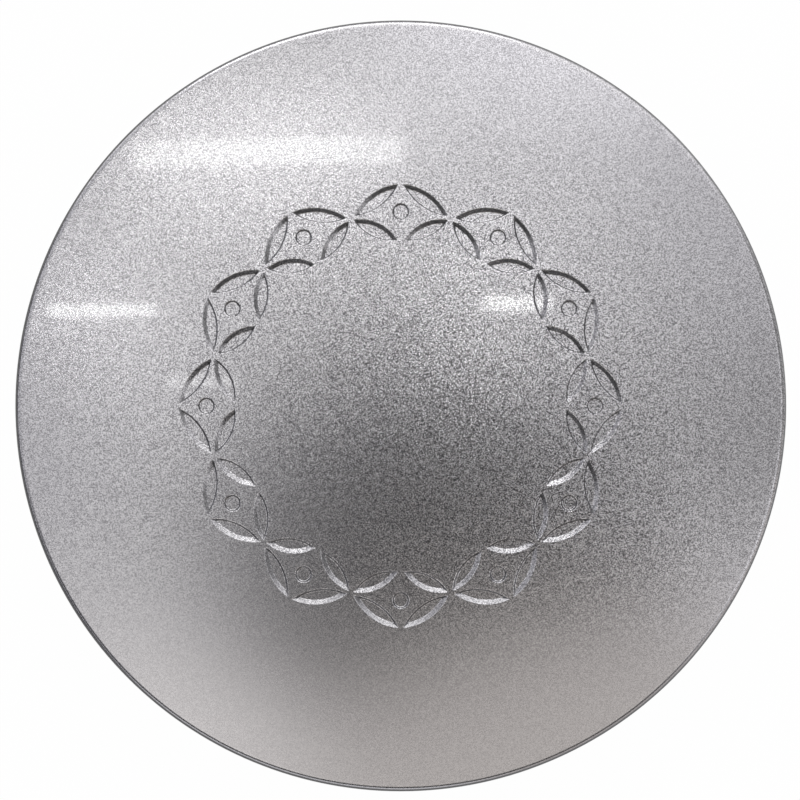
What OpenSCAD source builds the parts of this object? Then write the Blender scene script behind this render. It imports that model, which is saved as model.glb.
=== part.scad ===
// Wheel centre cap: a domed face with a debossed ring of ornament, a rim that fills the
// wheel's recess, sprung legs that snap behind the edge of its bore, and the wire ring
// that holds the legs spread. Z points out of the face. z = 0 is the seat, the plane of
// the rim's underside, and the cap's axis is the Z axis.

/* [Face] */
// Diameter of the face, which fills the wheel's recess
face_d = 60; // [54:1:76]
// Height of the face's edge above the seat
rim_h = 3; // [2.4:0.1:4]
// Rise of the domed face from its edge to its centre
crown = 2.2; // [1:0.1:3.5]
// Radius of the rounded edge between face and rim
edge_r = 0.6; // [0.3:0.1:1]
// Thickness of the face's wall
face_t = 2; // [1.6:0.1:2.6]
// Thickness of the rim, which is the width of its seat
rim_t = 1.5; // [1:0.1:1.8]

/* [Ornament] */
// Radius of the middle of the ring of ornament
band_r = 15; // [11:0.5:18]
// Distance across the ring, from the inner to the outer corners of its diamonds
band_w = 4.6; // [3.6:0.1:5.6]
// Number of diamonds in the ring
diamonds = 12; // [9:1:14]
// Width of one pointed pocket at its middle
pocket_w = 1.1; // [0.9:0.1:1.5]
// Depth of the pockets' flat floor
pocket_depth = 0.22; // [0.15:0.01:0.3]
// Slope of the pointed pockets' outer walls, measured from upright
outer_slope = 56; // [40:1:60]
// Slope of the other walls, measured from upright
inner_slope = 8; // [5:1:20]
// Land left at each end of a pocket
pocket_land = 0.3; // [0.2:0.05:0.5]
// Diameter of the round pocket in the middle of each diamond
bead_d = 1.2; // [1:0.1:1.6]

/* [Snap legs] */
// Width of the wheel's ledge between its recess and its bore
ledge_w = 2; // [1.6:0.1:2.6]
// Thickness of the wheel behind that ledge, which the hooks reach round
grip_h = 6; // [5:0.5:8]
// Gap between the legs and the bore
leg_gap = 0.8; // [0.6:0.1:1.1]
// How far the hooks stand past the edge of the bore
hook_bite = 0.4; // [0.2:0.05:0.6]
// Height of the flat crest of each hook
hook_land = 0.8; // [0.5:0.1:1.2]
// Length of the legs below the seat
leg_len = 11; // [10.6:0.1:14]
// Thickness of the legs
leg_t = 1.6; // [1.3:0.1:2]
// How far the lead-in leans the tips of the legs inward
tip_lean = 0.4; // [0.2:0.1:0.6]
// Number of legs
legs = 8; // [6:1:10]
// Width of the slots between the legs
slot_w = 4.5; // [3.5:0.1:5.5]
// Height of the uncut ring above the slots, below the seat
root_h = 1.5; // [1:0.1:2.5]
// Size of the bevelled corners at the tips of the legs
tip_bevel = 1; // [0.5:0.1:1.5]
// Radius of the fillet between the legs and the face
root_r = 0.6; // [0.3:0.1:0.8]

/* [Retaining ring] */
// Diameter of the spring wire
wire_d = 1.6; // [1.2:0.1:1.8]
// Clearance between the wire and its groove
wire_clear = 0.05; // [0.03:0.01:0.08]
// How far the bead under the wire stands in from the legs
bead_in = 0.5; // [0.3:0.1:0.7]
// Opening between the ends of the wire
wire_gap = 7; // [4:0.5:12]

/* [Underside] */
// Radius of the middle of the stiffening ring
rib_r = 18; // [14:0.5:19]
// Thickness of the ribs
rib_t = 1; // [0.8:0.1:1.4]
// Height of the stiffening ring below the face's wall
rib_h = 2; // [1.2:0.1:2.4]
// How far the gussets reach in from the legs
gusset_w = 2.5; // [1.5:0.1:3]
// How far the gussets reach down the legs from the seat
gusset_h = 3; // [2:0.1:4]
// Diameter of the round gate mark in the middle
gate_d = 4; // [3:0.5:6]
// Height of the gate mark
gate_h = 0.3; // [0.2:0.1:0.6]
// Distance of the ejector marks from the middle
ejector_r = 9; // [6:0.5:10]
// Diameter of the ejector marks
ejector_d = 3; // [2:0.5:4]
// Depth of the ejector marks
ejector_depth = 0.15; // [0.1:0.05:0.3]
// Number of ejector marks
ejectors = 4; // [3:1:6]

/* [Hidden] */
$fn = 144;
dome_fn = 900;

// The domed face is part of a sphere through its edge and its centre
face_r = face_d / 2;
dome_r = (face_r * face_r + crown * crown) / (2 * crown);
dome_z = rim_h + crown - dome_r;
function under_at(r) = dome_z + sqrt(pow(dome_r - face_t, 2) - r * r);

// Centre of the edge's rounding, which touches both the dome and the rim
edge_x = face_r - edge_r;
edge_z = dome_z + sqrt(pow(dome_r - edge_r, 2) - edge_x * edge_x);
edge_lean = asin(edge_x / (dome_r - edge_r));

rim_in_r = face_r - rim_t;
bore_r = face_r - ledge_w;
leg_out_r = bore_r - leg_gap;
leg_in_r = leg_out_r - leg_t;
leg_top = under_at(leg_out_r) + face_t / 2;
hook_r = bore_r + hook_bite;
catch_z = -grip_h + leg_gap;
crest_z = -grip_h - hook_bite;
tip_r = leg_out_r - tip_lean;

// Centre of the root's fillet, which touches both the legs and the face's underside
root_x = leg_in_r - root_r;
root_z = dome_z + sqrt(pow(dome_r - face_t - root_r, 2) - root_x * root_x);
root_lean = asin(root_x / (dome_r - face_t - root_r));

wire_r = wire_d / 2;
groove_r = wire_r + wire_clear;
wire_z = crest_z - hook_land / 2;
wire_open = 2 * asin(wire_gap / (2 * leg_in_r));

rib_z = under_at(rib_r) - rib_h;
leg_pitch = 360 / legs;
diamond_pitch = 360 / diamonds;
cut = 1;

function polar(r, a) = [r * cos(a), r * sin(a)];

// Half section of the solid face and rim, with the edge rounded
module face_section() {
    difference() {
        union() {
            intersection() {
                translate([0, dome_z]) circle(dome_r, $fn = dome_fn);
                polygon([
                    [0, 0],
                    [edge_x, 0],
                    [edge_x, edge_z],
                    [edge_x + cut * sin(edge_lean), edge_z + cut * cos(edge_lean)],
                    [edge_x, rim_h + crown + cut],
                    [0, rim_h + crown + cut],
                ]);
            }
            translate([edge_x, edge_z]) circle(edge_r);
            square([face_r, edge_z]);
        }
        intersection() {
            translate([0, dome_z]) circle(dome_r - face_t, $fn = dome_fn);
            translate([0, -cut]) square([rim_in_r, rim_h + crown + cut]);
        }
    }
}

// Half section of a leg, with the hook outside and the wire's groove inside
module leg_section() {
    difference() {
        polygon([
            [leg_in_r, leg_top],
            [leg_out_r, leg_top],
            [leg_out_r, catch_z],
            [hook_r, crest_z],
            [hook_r, crest_z - hook_land],
            [tip_r, -leg_len],
            [leg_in_r, -leg_len],
            [leg_in_r - bead_in, -leg_len + bead_in],
            [leg_in_r - bead_in, wire_z - wire_r / 2],
            [leg_in_r, wire_z],
        ]);
        translate([leg_in_r, wire_z]) circle(groove_r);
    }
}

// Fillet inside the root of the legs
module root_section() {
    rise = root_r + face_t / 2;
    difference() {
        polygon([
            [root_x, root_z],
            [leg_in_r + leg_t / 2, root_z],
            [leg_in_r + leg_t / 2, root_z + rise],
            [root_x + rise * sin(root_lean), root_z + rise * cos(root_lean)],
        ]);
        translate([root_x, root_z]) circle(root_r);
    }
}

module rib_section() {
    translate([rib_r - rib_t / 2, rib_z]) square([rib_t, rib_h + face_t / 2]);
}

// Ribs from the stiffening ring to the legs, in line with the slots
module spokes() {
    for (i = [0:legs - 1]) {
        rotate([0, 0, i * leg_pitch])
            translate([rib_r, -rib_t / 2, rib_z])
                cube([leg_in_r + leg_t / 2 - rib_r, rib_t, leg_top - rib_z]);
    }
}

// Gusset that props the middle of each leg against the face
module gussets() {
    face_z = under_at(leg_in_r) + face_t / 2;
    for (i = [0:legs - 1]) {
        rotate([0, 0, (i + 0.5) * leg_pitch])
            translate([0, rib_t / 2, 0]) rotate([90, 0, 0]) linear_extrude(height = rib_t)
                polygon([
                    [leg_in_r - gusset_w, face_z],
                    [leg_in_r + leg_t / 2, face_z],
                    [leg_in_r + leg_t / 2, -gusset_h],
                    [leg_in_r, -gusset_h],
                    [leg_in_r - gusset_w, 0],
                ]);
    }
}

// One slot between two legs, round at its root and bevelled at the tips
module slot() {
    slot_z = -root_h - slot_w / 2;
    rotate([90, 0, 90]) linear_extrude(height = hook_r - leg_in_r + 2 * cut + bead_in) {
        translate([0, slot_z]) circle(slot_w / 2);
        polygon([
            [-slot_w / 2, slot_z],
            [-slot_w / 2, -leg_len + tip_bevel],
            [-slot_w / 2 - tip_bevel - cut, -leg_len - cut],
            [slot_w / 2 + tip_bevel + cut, -leg_len - cut],
            [slot_w / 2, -leg_len + tip_bevel],
            [slot_w / 2, slot_z],
        ]);
    }
}

module slots() {
    for (i = [0:legs - 1]) {
        rotate([0, 0, i * leg_pitch])
            translate([leg_in_r - bead_in - cut, 0, 0]) slot();
    }
}

// Puts its children on the dome above a point of the seat's plane, square to the dome
module on_dome(at) {
    r = norm(at);
    translate([0, 0, dome_z])
        rotate([0, 0, atan2(at.y, at.x)])
            rotate([0, asin(r / dome_r), 0])
                translate([0, 0, dome_r])
                    rotate([0, 0, -atan2(at.y, at.x)]) children();
}

// Frustum with the radius r at the surface, which narrows downwards at the given slope
module sloped_cutter(r, slope) {
    narrow = tan(slope);
    translate([0, 0, -pocket_depth])
        cylinder(h = pocket_depth + cut, r1 = r - pocket_depth * narrow, r2 = r + cut * narrow);
}

// Pointed pocket between two points of the pattern that follow each other anticlockwise.
// Its outer wall slopes gently and its inner one stands almost upright
module pointed_pocket(from, to) {
    length = norm(to - from) - 2 * pocket_land;
    side_r = (length * length + pocket_w * pocket_w) / (4 * pocket_w);
    turn = atan2(to.y - from.y, to.x - from.x);
    on_dome((from + to) / 2) rotate([0, 0, turn]) intersection() {
        translate([0, side_r - pocket_w / 2, 0]) sloped_cutter(side_r, outer_slope);
        translate([0, pocket_w / 2 - side_r, 0]) sloped_cutter(side_r, inner_slope);
    }
}

// A closed ring of diamonds, each drawn by four pointed pockets round a round one
module ornament() {
    for (i = [0:diamonds - 1]) {
        a = (i + 0.5) * diamond_pitch;
        left = polar(band_r, a - diamond_pitch / 2);
        right = polar(band_r, a + diamond_pitch / 2);
        outer = polar(band_r + band_w / 2, a);
        inner = polar(band_r - band_w / 2, a);
        pointed_pocket(left, outer);
        pointed_pocket(outer, right);
        pointed_pocket(left, inner);
        pointed_pocket(inner, right);
        on_dome(polar(band_r, a)) sloped_cutter(bead_d / 2, inner_slope);
    }
}

// Raised spot where the plastic entered the mould, in the middle of the underside
module gate_mark() {
    translate([0, 0, under_at(0) - gate_h]) cylinder(h = gate_h + face_t / 2, d = gate_d);
}

module ejector_marks() {
    for (i = [0:ejectors - 1]) {
        rotate([0, 0, (i + 0.5) * 360 / ejectors])
            translate([ejector_r, 0, under_at(ejector_r) - cut])
                cylinder(h = cut + ejector_depth, d = ejector_d);
    }
}

// One moulding: face, rim, ribs and legs, painted silver outside
module cap_body() {
    color("silver") difference() {
        union() {
            rotate_extrude() {
                face_section();
                leg_section();
                root_section();
                rib_section();
            }
            spokes();
            gussets();
            gate_mark();
        }
        slots();
        ornament();
        ejector_marks();
    }
}

// Open ring of spring wire in the legs' grooves, its opening at a slot
module retaining_ring() {
    color("dimgray") rotate([0, 0, wire_open / 2 - 90])
        rotate_extrude(angle = 360 - wire_open)
            translate([leg_in_r, wire_z]) circle(wire_r, $fn = 48);
}

cap_body();
retaining_ring();
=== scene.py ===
import math

import bmesh
import bpy
from mathutils import Matrix, Vector


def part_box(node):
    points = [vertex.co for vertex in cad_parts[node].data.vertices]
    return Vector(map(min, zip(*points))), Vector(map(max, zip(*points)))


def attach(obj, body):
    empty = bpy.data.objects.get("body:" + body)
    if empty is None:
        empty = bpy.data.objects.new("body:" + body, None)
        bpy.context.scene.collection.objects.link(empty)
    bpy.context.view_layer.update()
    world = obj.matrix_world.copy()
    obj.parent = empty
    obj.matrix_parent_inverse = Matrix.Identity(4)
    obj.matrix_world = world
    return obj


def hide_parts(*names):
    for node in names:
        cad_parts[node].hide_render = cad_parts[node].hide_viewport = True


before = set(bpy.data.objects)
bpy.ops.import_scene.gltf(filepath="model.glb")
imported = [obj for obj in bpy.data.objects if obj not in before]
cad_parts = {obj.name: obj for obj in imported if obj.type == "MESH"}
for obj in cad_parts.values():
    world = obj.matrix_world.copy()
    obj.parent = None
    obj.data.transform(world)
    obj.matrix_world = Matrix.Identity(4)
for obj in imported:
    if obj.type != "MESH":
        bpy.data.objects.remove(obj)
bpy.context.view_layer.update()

bodyLow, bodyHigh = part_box("cap_body")
ringLow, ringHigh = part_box("retaining_ring")
print("frame loaded")

# Meshes are drawn in millimetres and scaled to metres when they are finished
toMm = 1000
weldGap = 1e-4               # points closer than this are joined, in mm
seamGap = 1e-3               # and across the edge of the ornament's band
zAxis = Vector((0, 0, 1))
origin = Vector((0, 0, 0))

# The moulding: driving sizes in mm, then what follows from them
capBody = {
    "faceR": round(bodyHigh[0] * toMm, 1),
    "top": round(bodyHigh[2] * toMm, 2),
    "tips": round(bodyLow[2] * toMm, 2),
    "crown": 2.2,
    "edgeR": 0.6,
    "wallT": 2.0,
    "rimT": 1.5,
    "ledgeW": 2.0,
    "legGap": 0.8,
    "gripH": 6.0,
    "hookBite": 0.4,
    "hookLand": 0.8,
    "legT": 1.6,
    "tipLean": 0.4,
    "beadIn": 0.5,
    "rootR": 0.6,
    "legs": 8,
    "slotW": 4.5,
    "rootH": 1.5,
    "tipBevel": 1.0,
    "ribR": 18.0,
    "ribT": 1.0,
    "ribH": 2.0,
    "spokeShy": 0.05,
    "gussetW": 2.5,
    "gussetH": 3.0,
    "gateR": 2.0,
    "gateH": 0.3,
    "ejectors": 4,
    "ejectorR": 9.0,
    "ejectorD": 3.0,
    "ejectorDepth": 0.15,
    "cornerR": 0.15,
    "steps": 240,            # round the axis
    "innerSteps": 24,        # rings of faces on the dome, inside the ornament's band
    "outerSteps": 16,        # and outside it
    "edgeSteps": 8,
    "grooveSteps": 14,
    "rootSteps": 5,
    "slotSteps": 24,
    "markSides": 48,
    "backRings": (24.0, 22.5, 21.0, 19.5),       # rings of faces on the back, outside the stiffening rib
    "middleRings": (16.0, 14.0, 12.0, 10.0, 8.0, 6.0, 4.0),      # and inside it
    "sharpAngle": 32,        # degrees between faces, past which an edge is shaded sharp
    "levelSlack": 0.001,     # points this near to the dome or to the pockets' floors are shaded as a sphere
    "edgeSlack": 0.1,        # how far that shading runs into the rounded edge
    "frontAbove": 0.1,       # the spray covers what lies above this on the front
    "rimSkin": 0.2,          # and the rim's side, this deep and above this height
    "sprayEnd": 0.02,
}
capBody["domeR"] = (capBody["faceR"] ** 2 + capBody["crown"] ** 2) / (2 * capBody["crown"])
capBody["domeZ"] = capBody["top"] - capBody["domeR"]
capBody["legOutR"] = capBody["faceR"] - capBody["ledgeW"] - capBody["legGap"]
capBody["legInR"] = capBody["legOutR"] - capBody["legT"]
capBody["hookR"] = capBody["faceR"] - capBody["ledgeW"] + capBody["hookBite"]
capBody["crestZ"] = -capBody["gripH"] - capBody["hookBite"]

# The ring of ornament: a closed lattice of pointed pockets with a round one in each diamond
ornament = {
    "midR": 15.0,
    "width": 4.6,
    "diamonds": 12,
    "pocketW": 1.1,
    "depth": 0.22,
    "outerSlope": 56,
    "innerSlope": 8,
    "land": 0.3,
    "beadD": 1.2,
    "bendR": 0.1,
    "bendSteps": 6,
    "sideSteps": 20,
    "roundSteps": 24,
    "seamSteps": 8,
    "margin": 0.5,
}
ornament["innerR"] = ornament["midR"] - ornament["width"] / 2 - ornament["margin"]
ornament["outerR"] = ornament["midR"] + ornament["width"] / 2 + ornament["margin"]

# The spring wire in the legs' grooves
wireRing = {
    "wireR": round((ringHigh[2] - ringLow[2]) * toMm / 2, 2),
    "z": round((ringHigh[2] + ringLow[2]) * toMm / 2, 2),
    "midR": capBody["legInR"],
    "clearance": 0.05,
    "opening": 7.0,
    "endBevel": 0.2,
    "bevelSteps": 3,
    "sides": 32,
    "steps": 230,
    "sharpAngle": 40,
}


def srgb(code):
    # sRGB hex to the linear values that the shaders work in
    parts = [int(code[i:i + 2], 16) / 255 for i in (1, 3, 5)]
    return (*[c / 12.92 if c <= 0.04045 else ((c + 0.055) / 1.055) ** 2.4 for c in parts], 1)


def domeAt(r, inward=0):
    # Height of the dome at a distance from the axis, or of the skin that lies inward of it
    return capBody["domeZ"] + math.sqrt((capBody["domeR"] - inward) ** 2 - r * r)


def evenly(start, end, steps):
    # Numbers from start to end in equal steps, both ends included
    return [start + (end - start) * i / steps for i in range(steps + 1)]


def arcPoints(centre, radius, start, end, count):
    # Points on an arc in the plane of the half section, angles in degrees
    angles = [math.radians(angle) for angle in evenly(start, end, count)]
    return [Vector((centre[0] + radius * math.cos(a), 0, centre[1] + radius * math.sin(a))) for a in angles]


def roundedCorners(corners, segments=3):
    # corners are (r, z, radius); the first and the last only lead in and out
    spots = [Vector((r, 0, z)) for r, z, _ in corners]
    points = []
    for i in range(1, len(corners) - 1):
        radius = corners[i][2]
        if not radius:
            points.append(spots[i])
            continue
        back = (spots[i - 1] - spots[i]).normalized()
        ahead = (spots[i + 1] - spots[i]).normalized()
        half = back.angle(ahead) / 2
        centre = spots[i] + (back + ahead).normalized() * (radius / math.sin(half))
        first = (spots[i] + back * (radius / math.tan(half)) - centre).normalized()
        last = (spots[i] + ahead * (radius / math.tan(half)) - centre).normalized()
        points += [centre + first.slerp(last, k / segments) * radius for k in range(segments + 1)]
    return points


def bodySection(c):
    # Half section of the moulding, from the middle of the face round to the middle of its back
    edgeX = c["faceR"] - c["edgeR"]
    edgeZ = domeAt(edgeX, c["edgeR"])
    edgeLean = math.degrees(math.asin(edgeX / (c["domeR"] - c["edgeR"])))
    touchR = c["domeR"] * math.sin(math.radians(edgeLean))
    inner = evenly(0, ornament["innerR"], c["innerSteps"])
    outer = evenly(ornament["outerR"], touchR, c["outerSteps"])[:-1]
    points = [Vector((r, 0, domeAt(r))) for r in inner + outer]
    points += arcPoints((edgeX, edgeZ), c["edgeR"], 90 - edgeLean, 0, c["edgeSteps"])

    rimInR = c["faceR"] - c["rimT"]
    small = c["cornerR"]
    wireZ = wireRing["z"]
    grooveR = wireRing["wireR"] + wireRing["clearance"]
    beadR = c["legInR"] - c["beadIn"]
    beadTop = wireZ - math.sqrt(grooveR ** 2 - c["beadIn"] ** 2)
    points += roundedCorners([
        (c["faceR"], edgeZ, 0),
        (c["faceR"], 0, small),
        (rimInR, 0, small),
        (rimInR, domeAt(rimInR, c["wallT"]), small),
        (c["legOutR"], domeAt(c["legOutR"], c["wallT"]), 2 * small),
        (c["legOutR"], c["legGap"] - c["gripH"], 3 * small),
        (c["hookR"], c["crestZ"], small),
        (c["hookR"], c["crestZ"] - c["hookLand"], 2 * small),
        (c["legOutR"] - c["tipLean"], c["tips"], small),
        (c["legInR"], c["tips"], small),
        (beadR, c["tips"] + c["beadIn"], small),
        (beadR, beadTop, 0),
    ])
    grooveStart = math.degrees(math.atan2(beadTop - wireZ, -c["beadIn"]))
    points += arcPoints((c["legInR"], wireZ), grooveR, grooveStart, 90, c["grooveSteps"])

    rootX = c["legInR"] - c["rootR"]
    rootZ = domeAt(rootX, c["wallT"] + c["rootR"])
    rootLean = math.degrees(math.asin(rootX / (c["domeR"] - c["wallT"] - c["rootR"])))
    points += arcPoints((rootX, rootZ), c["rootR"], 0, 90 - rootLean, c["rootSteps"])

    ribOut, ribIn = c["ribR"] + c["ribT"] / 2, c["ribR"] - c["ribT"] / 2
    ribZ = domeAt(c["ribR"], c["wallT"]) - c["ribH"]
    outside, inside, aroundGate = c["backRings"][-1], c["middleRings"][0], c["middleRings"][-1]
    back = [Vector((r, 0, domeAt(r, c["wallT"]))) for r in c["backRings"]]
    backRib = roundedCorners([
        (outside, domeAt(outside, c["wallT"]), 0),
        (ribOut, domeAt(ribOut, c["wallT"]), 2 * small),
        (ribOut, ribZ, small),
        (ribIn, ribZ, small),
        (ribIn, domeAt(ribIn, c["wallT"]), 2 * small),
        (inside, domeAt(inside, c["wallT"]), 0),
    ])
    backMiddle = [Vector((r, 0, domeAt(r, c["wallT"]))) for r in c["middleRings"]]
    gateZ = domeAt(0, c["wallT"]) - c["gateH"]
    gate = roundedCorners([
        (aroundGate, domeAt(aroundGate, c["wallT"]), 0),
        (c["gateR"], domeAt(c["gateR"], c["wallT"]), 0),
        (c["gateR"], gateZ, small / 2),
        (0, gateZ, 0),
    ])
    return points + back + backRib + backMiddle + gate + [Vector((0, 0, gateZ))]


def wireUp(bm, points, closed=False):
    verts = [bm.verts.new(p) for p in points]
    edges = [bm.edges.new(pair) for pair in zip(verts, verts[1:] + verts[:1] if closed else verts[1:])]
    return verts, edges


def meshFrom(bm, name):
    mesh = bpy.data.meshes.new(name)
    bm.to_mesh(mesh)
    bm.free()
    obj = bpy.data.objects.new(name, mesh)
    bpy.context.scene.collection.objects.link(obj)
    return obj


def addTo(bm, other):
    # Moves everything in another bmesh into this one
    part = bpy.data.meshes.new("part")
    other.to_mesh(part)
    other.free()
    bm.from_mesh(part)
    bpy.data.meshes.remove(part)


def turnedBody():
    # The moulding before its slots and ribs, turned from its half section
    bm = bmesh.new()
    verts, edges = wireUp(bm, bodySection(capBody))
    bmesh.ops.spin(bm, geom=verts + edges, cent=origin, axis=zAxis, angle=2 * math.pi,
                   steps=capBody["steps"], use_merge=True)
    bmesh.ops.remove_doubles(bm, verts=bm.verts, dist=weldGap)
    bmesh.ops.recalc_face_normals(bm, faces=bm.faces)
    return meshFrom(bm, "capBody")


def repeatRound(bm, count):
    # Copies everything so far round the axis
    bmesh.ops.spin(bm, geom=bm.verts[:] + bm.edges[:] + bm.faces[:], cent=origin, axis=zAxis,
                   angle=2 * math.pi * (count - 1) / count, steps=count - 1, use_duplicate=True)


def prism(bm, outline, offset, depth):
    # A closed outline drawn square to one axis and extruded along it
    verts, edges = wireUp(bm, outline, closed=True)
    face = bmesh.ops.contextual_create(bm, geom=edges)["faces"]
    made = bmesh.ops.extrude_face_region(bm, geom=face, use_keep_orig=True)
    moved = [g for g in made["geom"] if isinstance(g, bmesh.types.BMVert)]
    bmesh.ops.translate(bm, vec=depth, verts=moved)
    bmesh.ops.translate(bm, vec=offset, verts=verts + moved)


def slotCutters():
    # Round-rooted slots between the legs, and the pins that leave the ejector marks
    c = capBody
    bm = bmesh.new()
    half, slotZ, past = c["slotW"] / 2, -c["rootH"] - c["slotW"] / 2, 1.0
    top = arcPoints((0, slotZ), half, 0, 180, c["slotSteps"])
    foot = [
        (-half, c["tips"] + c["tipBevel"]),
        (-half - c["tipBevel"] - past, c["tips"] - past),
        (half + c["tipBevel"] + past, c["tips"] - past),
        (half, c["tips"] + c["tipBevel"]),
    ]
    outline = [Vector((0, p.x, p.z)) for p in top] + [Vector((0, y, z)) for y, z in foot]
    start = c["legInR"] - c["beadIn"] - past
    prism(bm, outline, Vector((start, 0, 0)), Vector((c["hookR"] + past - start, 0, 0)))
    repeatRound(bm, c["legs"])
    marks = bmesh.new()
    markZ = domeAt(c["ejectorR"], c["wallT"]) + c["ejectorDepth"]
    place = Matrix.Translation((c["ejectorR"], 0, markZ - past))
    place = Matrix.Rotation(math.pi / c["ejectors"], 4, "Z") @ place
    bmesh.ops.create_cone(marks, cap_ends=True, segments=c["markSides"], radius1=c["ejectorD"] / 2,
                          radius2=c["ejectorD"] / 2, depth=2 * past, matrix=place)
    repeatRound(marks, c["ejectors"])
    addTo(bm, marks)
    bmesh.ops.recalc_face_normals(bm, faces=bm.faces)
    return meshFrom(bm, "slotCutters")


def ribBlanks():
    # Spokes from the stiffening rib to the legs, and a gusset behind each leg
    c = capBody
    bm = bmesh.new()
    half = c["ribT"] / 2
    midWall = domeAt(c["legInR"], c["wallT"] / 2)
    ribZ = domeAt(c["ribR"], c["wallT"]) - c["ribH"] + c["spokeShy"]
    far = c["legInR"] + c["legT"] / 2
    spoke = [(c["ribR"], ribZ), (far, ribZ), (far, midWall), (c["ribR"], midWall)]
    prism(bm, [Vector((x, 0, z)) for x, z in spoke], Vector((0, -half, 0)), Vector((0, c["ribT"], 0)))
    near = c["legInR"] - c["gussetW"]
    gusset = [(near, midWall), (far, midWall), (far, -c["gussetH"]), (c["legInR"], -c["gussetH"]), (near, 0)]
    spin = Matrix.Rotation(math.pi / c["legs"], 3, "Z")
    across = spin @ Vector((0, c["ribT"], 0))
    prism(bm, [spin @ Vector((x, 0, z)) for x, z in gusset], across * -0.5, across)
    repeatRound(bm, c["legs"])
    bmesh.ops.recalc_face_normals(bm, faces=bm.faces)
    return meshFrom(bm, "ribBlanks")


def combine(target, tool, operation):
    # Joins or cuts for good, and clears the tool away
    modifier = target.modifiers.new(operation, "BOOLEAN")
    modifier.operation = operation
    modifier.solver = "EXACT"
    modifier.object = tool
    result = bpy.data.meshes.new_from_object(target.evaluated_get(bpy.context.evaluated_depsgraph_get()))
    target.modifiers.clear()
    old = target.data
    target.data = result
    bpy.data.meshes.remove(old)
    bpy.data.meshes.remove(tool.data)


def pocketDepths():
    # From the plain face down to the floor, close together where the steeper walls bend
    o = ornament
    bend = math.radians(90 - o["innerSlope"])
    down = [o["bendR"] * (1 - math.cos(angle)) for angle in evenly(0, bend, o["bendSteps"])]
    return down + [o["depth"] - step for step in down[::-1]]


def wallOffset(depth, slope):
    # How far a wall stands out from its pocket's edge at a depth, with its lip and its foot rounded
    o = ornament
    lean = math.radians(slope)
    bend = math.pi / 2 - lean
    drop = o["bendR"] * (1 - math.cos(bend))
    if depth > o["depth"] / 2:
        return -o["depth"] * math.tan(lean) - wallOffset(o["depth"] - depth, slope)
    if depth > drop:
        return -depth * math.tan(lean)
    turn = math.acos(1 - depth / o["bendR"])
    return o["bendR"] * (math.tan(bend / 2) - math.sin(turn))


def arcEdges(bm, start, centre, angle, steps):
    vert = bmesh.ops.create_vert(bm, co=start)["vert"][0]
    before = set(bm.edges)
    bmesh.ops.spin(bm, geom=[vert], cent=centre, axis=zAxis, angle=angle, steps=steps)
    return [e for e in bm.edges if e not in before]


def weld(bm, edges):
    # Joins the ends of freshly drawn arcs and returns the loop's edges
    verts = {v for e in edges for v in e.verts}
    bmesh.ops.remove_doubles(bm, verts=list(verts), dist=weldGap)
    return list({e for v in verts if v.is_valid for e in v.link_edges})


def lensLoop(bm, start, end, depth):
    # Two arcs that meet in points: the outline of a pointed pocket at a depth. The inner wall is steeper
    length, width = (end - start).length, ornament["pocketW"]
    sideR = (length ** 2 + width ** 2) / (4 * width)
    setBack = sideR - width / 2
    innerR = sideR + wallOffset(depth, ornament["innerSlope"])
    outerR = sideR + wallOffset(depth, ornament["outerSlope"])
    tipShift = (innerR ** 2 - outerR ** 2) / (4 * setBack)
    along = (end - start).normalized()
    across = Vector((-along.y, along.x, 0))
    edges = []
    for side, radius in ((1, innerR), (-1, outerR)):
        half = math.acos((setBack + side * tipShift) / radius)
        centre = (start + end) / 2 - across * setBack * side - zAxis * depth
        tip = centre + Matrix.Rotation(half, 3, "Z") @ across * (radius * side)
        edges += arcEdges(bm, tip, centre, -2 * half, ornament["sideSteps"])
    return weld(bm, edges)


def roundLoop(bm, middle, depth):
    centre = middle - zAxis * depth
    start = centre + Vector((ornament["beadD"] / 2 + wallOffset(depth, ornament["innerSlope"]), 0, 0))
    return weld(bm, arcEdges(bm, start, centre, 2 * math.pi, ornament["roundSteps"]))


def sink(bm, drawLoop):
    # Draws one pocket from its lip to its floor, and returns the lip's edges
    loops = [drawLoop(depth) for depth in pocketDepths()]
    for upper, lower in zip(loops, loops[1:]):
        bmesh.ops.bridge_loops(bm, edges=upper + lower)
    bmesh.ops.contextual_create(bm, geom=loops[-1])
    return loops[0]


def polar(r, angle):
    return Vector((r * math.cos(angle), r * math.sin(angle), 0))


def ornamentBand():
    # One diamond with its pockets, filled out to a slice of the band, copied round and laid on the dome
    o = ornament
    bm = bmesh.new()
    half = math.pi / o["diamonds"]
    left, right = polar(o["midR"], -half), polar(o["midR"], half)
    outer, inner = polar(o["midR"] + o["width"] / 2, 0), polar(o["midR"] - o["width"] / 2, 0)
    rims = []
    for a, b in ((left, outer), (outer, right), (left, inner), (inner, right)):
        land = (b - a).normalized() * o["land"]
        rims += sink(bm, lambda depth: lensLoop(bm, a + land, b - land, depth))
    rims += sink(bm, lambda depth: roundLoop(bm, polar(o["midR"], 0), depth))
    border = []
    for r in (o["innerR"], o["outerR"]):
        border += arcEdges(bm, polar(r, -half), origin, 2 * half, capBody["steps"] // o["diamonds"])
    for angle in (-half, half):
        seam = [polar(r, angle) for r in evenly(o["innerR"], o["outerR"], o["seamSteps"])]
        border += wireUp(bm, seam)[1]
    border = weld(bm, border)
    bmesh.ops.triangle_fill(bm, use_beauty=True, edges=border + rims, normal=zAxis)
    repeatRound(bm, o["diamonds"])
    bmesh.ops.remove_doubles(bm, verts=bm.verts, dist=weldGap)
    for v in bm.verts:
        v.co.z += domeAt(v.co.xy.length)
    return bm


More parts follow.
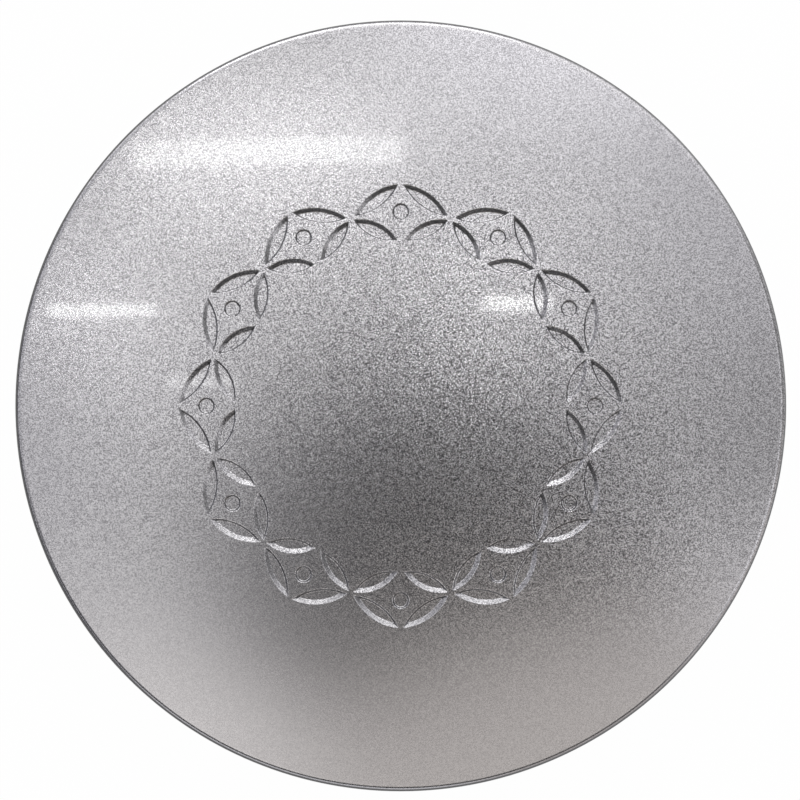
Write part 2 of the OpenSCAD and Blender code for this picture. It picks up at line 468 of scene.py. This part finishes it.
def setInBand(body):
    # Swaps the plain band of the dome for the one with the pockets
    bm = bmesh.new()
    bm.from_mesh(body.data)
    low, high = ornament["innerR"], ornament["outerR"]
    plain = [f for f in bm.faces if low < f.calc_center_median().xy.length < high
             and f.calc_center_median().z > domeAt(low, capBody["wallT"] / 2)]
    bmesh.ops.delete(bm, geom=plain, context="FACES")
    addTo(bm, ornamentBand())
    bmesh.ops.remove_doubles(bm, verts=bm.verts, dist=seamGap)
    bmesh.ops.recalc_face_normals(bm, faces=bm.faces)
    print("open edges after the band is set in:", sum(not e.is_manifold for e in bm.edges))
    bm.to_mesh(body.data)
    bm.free()


def shadeBody(body, c):
    # The face is a true sphere between its pockets, so its normals come from the sphere, not from the mesh
    mesh = body.data
    mesh.shade_smooth()
    mesh.set_sharp_from_angle(angle=math.radians(c["sharpAngle"]))
    middle = Vector((0, 0, c["domeZ"]))
    levels = (0, -ornament["depth"])
    reach = c["faceR"] - c["edgeR"] + c["edgeSlack"]
    normals = []
    for loop in mesh.loops:
        spot = mesh.vertices[loop.vertex_index].co
        r = spot.xy.length
        rise = spot.z - domeAt(min(r, c["faceR"]))
        onFace = r < reach and any(abs(rise - level) < c["levelSlack"] for level in levels)
        normals.append((spot - middle).normalized() if onFace else origin)
    mesh.normals_split_custom_set(normals)


def paintedSide(body, c):
    # Slot 0 is the sprayed face and rim, slot 1 the bare moulding behind them
    for face in body.data.polygons:
        r = face.center.xy.length
        z = face.center.z
        front = z > domeAt(min(r, c["faceR"])) - 2 * ornament["depth"] and z > c["frontAbove"]
        rimSide = r > c["faceR"] - c["rimSkin"] and z > c["sprayEnd"]
        face.material_index = 0 if front or rimSide else 1


def toMetres(piece):
    piece.data.transform(Matrix.Scale(1 / toMm, 4))
    piece.data.update()


def springWire(w):
    # Round wire bent to an open ring, its gap at the bottom of the photo
    bm = bmesh.new()
    bmesh.ops.create_circle(bm, segments=w["sides"], radius=w["wireR"],
                            matrix=Matrix.Rotation(math.pi / 2, 4, "X"))
    gap = w["opening"] / w["midR"]
    start = Matrix.Rotation(-math.pi / 2 + gap / 2, 4, "Z") @ Matrix.Translation((w["midR"], 0, w["z"]))
    bmesh.ops.transform(bm, matrix=start, verts=bm.verts)
    bmesh.ops.spin(bm, geom=bm.verts[:] + bm.edges[:], cent=origin, axis=zAxis,
                   angle=2 * math.pi - gap, steps=w["steps"])
    ends = bmesh.ops.holes_fill(bm, edges=[e for e in bm.edges if e.is_boundary])["faces"]
    bmesh.ops.bevel(bm, geom=list({e for f in ends for e in f.edges}), offset=w["endBevel"], affect="EDGES",
                    segments=w["bevelSteps"], profile=0.5, material=-1)
    bmesh.ops.recalc_face_normals(bm, faces=bm.faces)
    wire = meshFrom(bm, "wireRing")
    wire.data.shade_smooth()
    wire.data.set_sharp_from_angle(angle=math.radians(w["sharpAngle"]))
    return wire


def addNode(tree, kind, settings=None, **links):
    # Adds a node; a link is an output socket or a plain value for the socket of that name
    node = tree.nodes.new(kind)
    for name, value in (settings or {}).items():
        setattr(node, name, value)
    for name, value in links.items():
        key = name.replace("_", " ") if not name.startswith("in") else int(name[2:])
        socket = node.inputs[key]
        if isinstance(value, bpy.types.NodeSocket):
            tree.links.new(value, socket)
        else:
            socket.default_value = value
    return node


# Blender's noise seldom goes past these
noiseLow, noiseHigh = 0.3, 0.7


def newMaterial(name):
    material = bpy.data.materials.new(name)
    material.use_nodes = True
    material.node_tree.nodes.clear()
    return material, material.node_tree


def finishMaterial(tree, shader):
    addNode(tree, "ShaderNodeOutputMaterial", Surface=shader)


def fromAxis(tree, spot):
    # Distance from the cap's axis
    flat = addNode(tree, "ShaderNodeVectorMath", {"operation": "MULTIPLY"}, in0=spot, in1=(1, 1, 0))
    reach = addNode(tree, "ShaderNodeVectorMath", {"operation": "LENGTH"}, in0=flat.outputs[0])
    return reach.outputs["Value"]


def paintFlakes(tree, spot, p):
    # Each flake has its own brightness and lies at its own small angle. The gun swept from side to side, and
    # away from its middle pass, most toward the bottom, the coat went on wetter: there flakes lie flatter and
    # differ less
    flake = addNode(tree, "ShaderNodeTexVoronoi", Vector=spot, Scale=1 / p["grain"])
    centred = addNode(tree, "ShaderNodeVectorMath", {"operation": "SUBTRACT"}, in0=flake.outputs["Color"],
                      in1=(0.5, 0.5, 0.5))
    swept = addNode(tree, "ShaderNodeVectorMath", {"operation": "MULTIPLY"}, in0=spot, in1=(p["sweep"], 1, 1))
    reach = addNode(tree, "ShaderNodeVectorMath", {"operation": "DISTANCE"}, in0=swept.outputs[0],
                    in1=(*p["dryMiddle"], 0))
    apart = addNode(tree, "ShaderNodeMapRange", {"interpolation_type": "SMOOTHSTEP"},
                    Value=reach.outputs["Value"], From_Min=p["dryReach"], From_Max=p["wetReach"],
                    To_Min=1.0, To_Max=p["edgeGrain"])
    place = addNode(tree, "ShaderNodeSeparateXYZ", Vector=spot)
    low = addNode(tree, "ShaderNodeMapRange", {"interpolation_type": "SMOOTHSTEP"}, Value=place.outputs["Y"],
                  From_Min=p["wetBelow"], From_Max=p["dryAbove"], To_Min=p["wetGrain"], To_Max=1.0)
    loose = addNode(tree, "ShaderNodeMath", {"operation": "MULTIPLY"}, in0=apart.outputs[0],
                    in1=low.outputs[0])
    angle = addNode(tree, "ShaderNodeMath", {"operation": "MULTIPLY"}, in0=loose.outputs[0], in1=p["tilt"])
    leaning = addNode(tree, "ShaderNodeVectorMath", {"operation": "SCALE"}, in0=centred.outputs[0],
                      Scale=angle.outputs[0])
    surface = addNode(tree, "ShaderNodeNewGeometry")
    total = addNode(tree, "ShaderNodeVectorMath", {"operation": "ADD"}, in0=surface.outputs["Normal"],
                    in1=leaning.outputs[0])
    unit = addNode(tree, "ShaderNodeVectorMath", {"operation": "NORMALIZE"}, in0=total.outputs[0])
    pick = addNode(tree, "ShaderNodeSeparateXYZ", Vector=centred.outputs[0])
    spread = addNode(tree, "ShaderNodeMapRange", Value=pick.outputs["X"], From_Min=-p["spread"],
                     From_Max=p["spread"], To_Min=-0.5, To_Max=0.5)
    bright = addNode(tree, "ShaderNodeMath", {"operation": "MULTIPLY_ADD"}, in0=spread.outputs[0],
                     in1=loose.outputs[0], in2=0.5)
    return bright.outputs[0], unit.outputs[0]


def silverPaint(p):
    # Silver metallic basecoat sprayed on moulded ABS under a clear coat: coarse aluminium flakes that each
    # catch the light at their own angle, below a smooth gloss with a trace of orange peel. Painted shade
    # darkens its edge, the rim's side and the steep walls of the pockets
    material, tree = newMaterial("silverPaintUnderClearCoat")
    spot = addNode(tree, "ShaderNodeTexCoord").outputs["Object"]
    bright, lean = paintFlakes(tree, spot, p)
    shade = addNode(tree, "ShaderNodeMix", {"data_type": "RGBA"}, in0=bright, in6=srgb(p["dullFlake"]),
                    in7=srgb(p["brightFlake"]))
    # Painted shade: the edge and the rim's side are mixed toward a near-black colour, in place of the dark
    # outline that reflections give the edge. It reaches a little higher on the left and at the bottom
    height = addNode(tree, "ShaderNodeVectorMath", {"operation": "DOT_PRODUCT"}, in0=spot,
                     in1=(*p["edgeShadeTilt"], 1))
    edgeShadeMask = addNode(tree, "ShaderNodeMapRange", {"interpolation_type": "SMOOTHSTEP"},
                    Value=height.outputs["Value"], From_Min=p["thinFrom"], From_Max=p["edgeShadeEndsAbove"],
                    To_Min=p["thinCover"], To_Max=1.0)
    # Painted shade also darkens the steep walls of the pockets, inside the ornament's band
    normal = addNode(tree, "ShaderNodeNewGeometry").outputs["Normal"]
    facing = addNode(tree, "ShaderNodeSeparateXYZ", Vector=normal)
    wall = addNode(tree, "ShaderNodeMapRange", Value=facing.outputs["Z"], From_Min=p["steepBelow"],
                   From_Max=p["gentleAbove"], To_Min=p["silverLeftInWallShade"], To_Max=1.0)
    beyond = addNode(tree, "ShaderNodeMath", {"operation": "GREATER_THAN"}, in0=fromAxis(tree, spot),
                     in1=p["bandReach"])
    wallShadeInBand = addNode(tree, "ShaderNodeMath", {"operation": "MAXIMUM"}, in0=wall.outputs[0],
                      in1=beyond.outputs[0])
    unshadedShare = addNode(tree, "ShaderNodeMath", {"operation": "MULTIPLY"}, in0=edgeShadeMask.outputs[0],
                        in1=wallShadeInBand.outputs[0])
    colour = addNode(tree, "ShaderNodeMix", {"data_type": "RGBA"}, in0=unshadedShare.outputs[0],
                     in6=srgb(p["underneath"]), in7=shade.outputs[2])
    peel = addNode(tree, "ShaderNodeTexNoise", Vector=spot, Scale=1 / p["peelSize"], Detail=1.0)
    ripple = addNode(tree, "ShaderNodeBump", Height=peel.outputs[0], Strength=1.0, Distance=p["peelDepth"])
    paint = addNode(tree, "ShaderNodeBsdfPrincipled", Base_Color=colour.outputs[2], Metallic=p["metallic"],
                    Roughness=p["roughness"], Normal=lean, Coat_Weight=1.0, Coat_Roughness=p["coatRoughness"],
                    Coat_Normal=ripple.outputs[0])
    finishMaterial(tree, paint.outputs[0])
    return material


def bareMoulding(p):
    # Black ABS as it leaves the mould: an even, fine spark-eroded grain, with flecks of silver overspray past
    # a distance from the axis: round the edge of the seat, and also on the crests of the hooks
    material, tree = newMaterial("blackMouldedAbs")
    spot = addNode(tree, "ShaderNodeTexCoord").outputs["Object"]
    grain = addNode(tree, "ShaderNodeTexNoise", Vector=spot, Scale=1 / p["grain"], Detail=3.0)
    cloud = addNode(tree, "ShaderNodeTexNoise", Vector=spot, Scale=1 / p["cloud"], Detail=2.0)
    tone = addNode(tree, "ShaderNodeMix", {"data_type": "RGBA"}, in0=cloud.outputs[0], in6=srgb(p["dark"]),
                   in7=srgb(p["light"]))
    gloss = addNode(tree, "ShaderNodeMapRange", Value=cloud.outputs[0], From_Min=noiseLow, From_Max=noiseHigh,
                    To_Min=p["roughMin"], To_Max=p["roughMax"])
    dents = addNode(tree, "ShaderNodeBump", Height=grain.outputs[0], Strength=1.0, Distance=p["grainDepth"])

    fleck = addNode(tree, "ShaderNodeTexVoronoi", Vector=spot, Scale=1 / p["fleck"])
    density = addNode(tree, "ShaderNodeMapRange", Value=fromAxis(tree, spot), From_Min=p["sprayFrom"],
                      From_Max=p["sprayTo"])
    chance = addNode(tree, "ShaderNodeSeparateColor", Color=fleck.outputs["Color"])
    landed = addNode(tree, "ShaderNodeMath", {"operation": "LESS_THAN"}, in0=chance.outputs["Red"],
                     in1=density.outputs[0])
    colour = addNode(tree, "ShaderNodeMix", {"data_type": "RGBA"}, in0=landed.outputs[0], in6=tone.outputs[2],
                     in7=srgb(p["overspray"]))
    shine = addNode(tree, "ShaderNodeMath", {"operation": "MULTIPLY"}, in0=landed.outputs[0],
                    in1=p["fleckMetal"])
    plastic = addNode(tree, "ShaderNodeBsdfPrincipled", Base_Color=colour.outputs[2],
                      Metallic=shine.outputs[0], Roughness=gloss.outputs[0], Normal=dents.outputs[0],
                      IOR=p["ior"])
    finishMaterial(tree, plastic.outputs[0])
    return material


def drawnSteel(p):
    # Spring steel wire as drawn and lightly oiled: fine draw lines along it, its grey a little lighter and
    # darker along them
    material, tree = newMaterial("drawnSpringSteel")
    spot = addNode(tree, "ShaderNodeTexCoord").outputs["Object"]
    turn = addNode(tree, "ShaderNodeTexGradient", {"gradient_type": "RADIAL"}, Vector=spot)
    along = addNode(tree, "ShaderNodeMath", {"operation": "MULTIPLY"}, in0=turn.outputs["Fac"],
                    in1=2 * math.pi * p["bendR"] / p["lineLength"])
    outward = addNode(tree, "ShaderNodeMath", {"operation": "DIVIDE"}, in0=fromAxis(tree, spot),
                      in1=p["lineWidth"])
    height = addNode(tree, "ShaderNodeSeparateXYZ", Vector=spot).outputs["Z"]
    upward = addNode(tree, "ShaderNodeMath", {"operation": "DIVIDE"}, in0=height, in1=p["lineWidth"])
    path = addNode(tree, "ShaderNodeCombineXYZ", X=along.outputs[0], Y=outward.outputs[0],
                   Z=upward.outputs[0])
    lines = addNode(tree, "ShaderNodeTexNoise", Vector=path.outputs[0], Scale=1.0, Detail=2.0)
    scratches = addNode(tree, "ShaderNodeBump", Height=lines.outputs[0], Strength=1.0,
                        Distance=p["lineDepth"])
    colour = addNode(tree, "ShaderNodeMix", {"data_type": "RGBA"}, in0=lines.outputs[0], in6=srgb(p["dark"]),
                     in7=srgb(p["light"]))
    rough = addNode(tree, "ShaderNodeMapRange", Value=lines.outputs[0], From_Min=noiseLow, From_Max=noiseHigh,
                    To_Min=p["roughMin"], To_Max=p["roughMax"])
    steel = addNode(tree, "ShaderNodeBsdfPrincipled", Base_Color=colour.outputs[2], Metallic=1.0,
                    Roughness=rough.outputs[0], Normal=scratches.outputs[0])
    finishMaterial(tree, steel.outputs[0])
    return material


def paleFloor(p):
    # White paper under the cap. The camera sees it mostly as plain white, and reflections see it dimmer,
    # which gives the cap's edge its thin dark outline
    material, tree = newMaterial("whitePaper")
    ray = addNode(tree, "ShaderNodeLightPath")
    seen = addNode(tree, "ShaderNodeMath", {"operation": "MAXIMUM"}, in0=ray.outputs["Is Camera Ray"],
                   in1=ray.outputs["Is Glossy Ray"])
    seen = addNode(tree, "ShaderNodeMath", {"operation": "MAXIMUM"}, in0=seen.outputs[0],
                   in1=ray.outputs["Is Transmission Ray"])
    share = addNode(tree, "ShaderNodeMath", {"operation": "MULTIPLY"}, in0=seen.outputs[0],
                    in1=p["plainWhite"])
    paper = addNode(tree, "ShaderNodeBsdfDiffuse", Color=srgb(p["paper"]))
    glow = addNode(tree, "ShaderNodeMapRange", Value=ray.outputs["Is Glossy Ray"], To_Min=1.0,
                   To_Max=p["mirrored"])
    white = addNode(tree, "ShaderNodeEmission", Color=(1, 1, 1, 1), Strength=glow.outputs[0])
    both = addNode(tree, "ShaderNodeMixShader", Fac=share.outputs[0], in1=paper.outputs[0],
                   in2=white.outputs[0])
    finishMaterial(tree, both.outputs[0])
    return material


# What lights the room, in degrees: soft patches of light and dark overhead, then bands along the walls. A
# lean is the patch's angle from straight up, toward the photo's right and top. A band lies toward a compass
# angle, counted from the photo's right, at an angle down from straight up. Its two pairs are where it is full
# and where it has faded
room = {
    "ambient": ("#F6F6F8", 1.1),
    "patches": [
        {"lean": (72, 20), "inner": 8, "outer": 34, "tint": "#F0F0F0", "level": 0.3},
        {"lean": (-11.9, 10.4), "inner": 28, "outer": 36, "tint": "#FFFFFF", "level": 0.772},
        {"lean": (11.5, 29.1), "inner": 1, "outer": 17, "tint": "#FCFCFF", "level": 1.38},
        {"lean": (3.1, -11.1), "inner": 8, "outer": 18.3, "tint": "#101010", "level": 0.0},
        {"lean": (-18.5, -32.4), "inner": 9.5, "outer": 21.2, "tint": "#FFFCF8", "level": 1.15},
        {"lean": (27.0, -0.4), "inner": 0, "outer": 14, "tint": "#FFFFFF", "level": 0.34},
        {"lean": (13.5, -32.5), "inner": 12.4, "outer": 24.8, "tint": "#FFF9F2", "level": 0.73},
    ],
    "bands": [
        {"toward": 178, "side": (16, 30), "down": 30, "tall": (8, 17), "tint": "#FCFCFF", "level": 0.655},
        {"toward": 28, "side": (8, 24), "down": 30, "tall": (8, 15), "tint": "#FCFCFF", "level": 0.69},
        {"toward": 180, "side": (35, 65), "down": 52, "tall": (14, 22), "tint": "#FAFAFF", "level": 0.62},
        {"toward": 80, "side": (20, 36), "down": 57, "tall": (9, 14), "tint": "#FFFFFF", "level": 1.35},
        {"toward": 80, "side": (16, 32), "down": 54, "tall": (18, 26), "tint": "#FFFFFF", "level": 1.35},
        {"toward": -100, "side": (50, 80), "down": 56, "tall": (10, 15), "tint": "#F0F0F0", "level": 0.05},
        {"toward": 187, "side": (32, 44), "down": 86, "tall": (7, 15), "tint": "#2A3350", "level": 0.5},
        {"toward": -42, "side": (25, 45), "down": 92, "tall": (20, 28), "tint": "#FFF8F4", "level": 0.6},
    ],
}

# Strip lamps that mirror in the clear coat: where each one shows on the face, in mm
strips = [
    {"name": "longStrip", "start": (-20.7, 19.4), "end": (0.1, 19.75), "thick": 2.1, "level": 4.5},
    {"name": "leftStrip", "start": (-27.5, 7.4), "end": (-18.9, 7.4), "thick": 0.93, "level": 8.6},
    {"name": "rightStrip", "start": (6.4, 7.9), "end": (11.7, 7.9), "thick": 1.2, "level": 9.0},
    {"name": "smallStrip", "start": (-18.0, 1.9), "end": (-12.5, 1.9), "thick": 0.8, "level": 4.0},
]

# The camera, the lamps and the paper, in metres; the lens and its sensor are in mm
studio = {
    "camera": (-0.00006, 0.00046, 0.25),
    "lens": 143.1,
    "sensor": 36,
    "clipStart": 0.01,
    "stripDistance": 1.2,
    "floorSize": 20.0,
    "floorGap": 0.00002,
    "paper": {"paper": "#F6F6F6", "plainWhite": 0.985, "mirrored": 0.5},
    "softbox": {"name": "backSoftbox", "place": (-0.2, 1.5, 0.45), "size": (1.4, 0.5), "level": 2.2},
}


def mirrorSpot(x, y):
    # Where the camera's ray ends up after it meets the face at x, y, in mm from the middle
    middle = Vector((0, 0, capBody["domeZ"])) / toMm
    spot = Vector((x, y, domeAt(math.hypot(x, y)))) / toMm
    eye = Vector(studio["camera"])
    bounce = (spot - eye).normalized().reflect((spot - middle).normalized())
    return spot + bounce * studio["stripDistance"]


def hangLamp(name, place, turn, size, level):
    # A flat lamp that looks as bright as its level, whatever its size
    lamp = bpy.data.lights.new(name, "AREA")
    lamp.shape = "RECTANGLE"
    lamp.size, lamp.size_y = size
    lamp.energy = level * math.pi * size[0] * size[1]
    holder = bpy.data.objects.new(name, lamp)
    holder.matrix_world = Matrix.Translation(place) @ turn.to_4x4()
    bpy.context.scene.collection.objects.link(holder)


def hangStrip(strip):
    # Hangs a strip lamp where it mirrors between its two spots on the face
    start, end = mirrorSpot(*strip["start"]), mirrorSpot(*strip["end"])
    midX, midY = [(a + b) / 2 for a, b in zip(strip["start"], strip["end"])]
    thick = (mirrorSpot(midX, midY + strip["thick"] / 2) - mirrorSpot(midX, midY - strip["thick"] / 2)).length
    middle = (start + end) / 2
    across = (end - start).normalized()
    up = middle.normalized().cross(across).normalized()
    turn = Matrix((across, up, across.cross(up))).transposed()
    hangLamp(strip["name"], middle, turn, ((end - start).length, thick), strip["level"])


def hangSoftbox(box):
    # Hangs a softbox so that it faces the cap
    turn = Vector(box["place"]).to_track_quat("Z", "Y").to_matrix()
    hangLamp(box["name"], box["place"], turn, box["size"], box["level"])


def blendLight(tree, light, share, spot):
    # Lays a patch or a band over the light so far
    tone = [part * spot["level"] for part in srgb(spot["tint"])[:3]] + [1]
    mixed = addNode(tree, "ShaderNodeMix", {"data_type": "RGBA"}, in0=share.outputs[0], in6=light, in7=tone)
    return mixed.outputs[2]


def roomLight(r):
    world = bpy.data.worlds.new("room")
    bpy.context.scene.world = world
    world.use_nodes = True
    tree = world.node_tree
    tree.nodes.clear()
    aim = addNode(tree, "ShaderNodeTexCoord").outputs["Generated"]
    aim = addNode(tree, "ShaderNodeVectorMath", {"operation": "NORMALIZE"}, in0=aim).outputs[0]
    hue, level = r["ambient"]
    light = [part * level for part in srgb(hue)[:3]] + [1]
    for patch in r["patches"]:
        lean = Vector([math.tan(math.radians(part)) for part in patch["lean"]] + [1]).normalized()
        toward = addNode(tree, "ShaderNodeVectorMath", {"operation": "DOT_PRODUCT"}, in0=aim, in1=lean)
        share = addNode(tree, "ShaderNodeMapRange", {"interpolation_type": "SMOOTHERSTEP"},
                        Value=toward.outputs["Value"], From_Min=math.cos(math.radians(patch["outer"])),
                        From_Max=math.cos(math.radians(patch["inner"])))
        light = blendLight(tree, light, share, patch)
    flatAim = addNode(tree, "ShaderNodeVectorMath", {"operation": "MULTIPLY"}, in0=aim, in1=(1, 1, 0))
    around = addNode(tree, "ShaderNodeVectorMath", {"operation": "NORMALIZE"}, in0=flatAim.outputs[0])
    height = addNode(tree, "ShaderNodeSeparateXYZ", Vector=aim).outputs["Z"]
    down = addNode(tree, "ShaderNodeMath", {"operation": "ARCCOSINE"}, in0=height).outputs[0]
    for band in r["bands"]:
        way, middle = math.radians(band["toward"]), math.radians(band["down"])
        toward = addNode(tree, "ShaderNodeVectorMath", {"operation": "DOT_PRODUCT"}, in0=around.outputs[0],
                         in1=(math.cos(way), math.sin(way), 0))
        full, gone = [math.cos(math.radians(part)) for part in band["side"]]
        beside = addNode(tree, "ShaderNodeMapRange", {"interpolation_type": "SMOOTHERSTEP"},
                         Value=toward.outputs["Value"], From_Min=gone, From_Max=full)
        off = addNode(tree, "ShaderNodeMath", {"operation": "SUBTRACT"}, in0=down, in1=middle)
        off = addNode(tree, "ShaderNodeMath", {"operation": "ABSOLUTE"}, in0=off.outputs[0])
        full, gone = [math.radians(part) for part in band["tall"]]
        within = addNode(tree, "ShaderNodeMapRange", {"interpolation_type": "SMOOTHERSTEP"},
                         Value=off.outputs[0], From_Min=full, From_Max=gone, To_Min=1.0, To_Max=0.0)
        share = addNode(tree, "ShaderNodeMath", {"operation": "MULTIPLY"}, in0=beside.outputs[0],
                        in1=within.outputs[0])
        light = blendLight(tree, light, share, band)
    background = addNode(tree, "ShaderNodeBackground", Color=light, Strength=1.0)
    addNode(tree, "ShaderNodeOutputWorld", Surface=background.outputs[0])


body = turnedBody()
print("body turned")
combine(body, ribBlanks(), "UNION")
combine(body, slotCutters(), "DIFFERENCE")
print("legs cut and ribs joined")
setInBand(body)
paintedSide(body, capBody)
shadeBody(body, capBody)
toMetres(body)

# Patterns and places in the materials are in metres, as the shaders read them
body.data.materials.append(silverPaint({
    "grain": 0.00005,        # real flakes are nearer 0.03 mm; drawn coarser, as they show in the light
    "tilt": 0.1,
    "spread": 0.12,
    "sweep": 0.7,
    "dryMiddle": (0.0028, 0.0),
    "dryReach": 0.008,
    "wetReach": 0.026,
    "edgeGrain": 0.5,
    "wetBelow": -0.022,
    "dryAbove": -0.009,
    "wetGrain": 0.4,
    "dullFlake": "#716F73",
    "brightFlake": "#FBF9FC",
    # painted shade at the edge and down the rim's side: where it is full, where it ends, the silver left in
    # it, its tilt
    "thinFrom": 0.00278,
    "edgeShadeEndsAbove": 0.00298,
    "thinCover": 0.12,
    "edgeShadeTilt": (0.0015, 0.0015),
    "bandReach": ornament["outerR"] / toMm,
    # painted shade on the pockets' steep walls: where it is full, where it ends, and the silver left in it
    "steepBelow": 0.7,
    "gentleAbove": 0.92,
    "silverLeftInWallShade": 0.1,
    # the near-black colour of the painted shade
    "underneath": "#101014",
    "metallic": 0.95,
    "roughness": 0.217,
    "coatRoughness": 0.04,
    "peelSize": 0.002,
    "peelDepth": 0.0000012,
}))
body.data.materials.append(bareMoulding({
    "grain": 0.00012,
    "grainDepth": 0.00001,
    "cloud": 0.006,
    "dark": "#1F2023",
    "light": "#2B2C30",
    "roughMin": 0.42,
    "roughMax": 0.55,
    "fleck": 0.00012,
    "sprayFrom": 0.0280,
    "sprayTo": 0.0302,
    "overspray": "#9A9AA0",
    "fleckMetal": 0.8,
    "ior": 1.54,
}))
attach(body, "root")
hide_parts("cap_body")
print("cap body painted")

wire = springWire(wireRing)
toMetres(wire)
wire.data.materials.append(drawnSteel({
    "bendR": wireRing["midR"] / toMm,
    "lineLength": 0.004,
    "lineWidth": 0.00006,
    "lineDepth": 0.000004,
    "dark": "#77787A",
    "light": "#A3A4A6",
    "roughMin": 0.28,
    "roughMax": 0.42,
}))
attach(wire, "root")
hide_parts("retaining_ring")
print("wire ring bent")

bm = bmesh.new()
bmesh.ops.create_grid(bm, x_segments=1, y_segments=1, size=studio["floorSize"] / 2,
                      matrix=Matrix.Translation((0, 0, capBody["tips"] / toMm - studio["floorGap"])))
floor = meshFrom(bm, "floor")
floor.data.materials.append(paleFloor(studio["paper"]))

roomLight(room)
for strip in strips:
    hangStrip(strip)
hangSoftbox(studio["softbox"])

eye = bpy.data.cameras.new("camera")
eye.lens = studio["lens"]
eye.sensor_width = studio["sensor"]
eye.clip_start = studio["clipStart"]
camera = bpy.data.objects.new("camera", eye)
camera.location = studio["camera"]
bpy.context.scene.collection.objects.link(camera)
bpy.context.scene.camera = camera
bpy.context.scene.view_settings.view_transform = "Standard"
print("lights and camera set")
